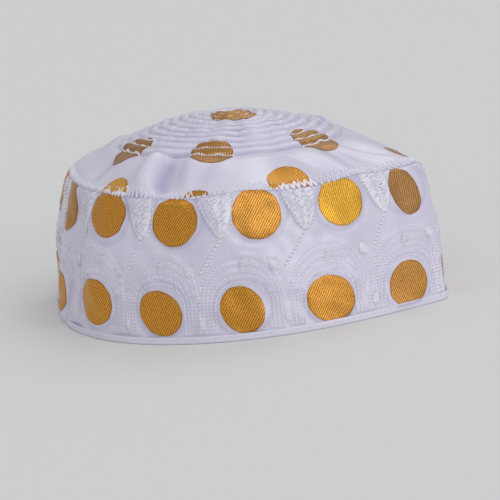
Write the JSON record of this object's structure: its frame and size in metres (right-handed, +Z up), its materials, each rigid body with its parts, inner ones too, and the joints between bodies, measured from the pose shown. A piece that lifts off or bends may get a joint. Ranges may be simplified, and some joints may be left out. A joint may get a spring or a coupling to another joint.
{
  "type": "skullcap",
  "caption": "Soft white satin skullcap with a low domed crown, a tapering side band and a narrow bound rim; open below for the head.",
  "frame": {"origin": "on the surface that the rim rests on, under the middle of the cap's outline", "axes": "+Z up through the crown; -Y is the side that the picture shows, with +X to its right"},
  "size_m": [0.1774, 0.1812, 0.0854],
  "materials": {
    "satin_crown": "satin, quilted in stitched rings",
    "satin_band": "satin with stitched arches",
    "satin_binding": "folded satin"
  },
  "bodies": {
    "root": {"crown_top": "satin_crown", "side_band": "satin_band", "bottom_binding": "satin_binding"}
  },
  "joints": []
}
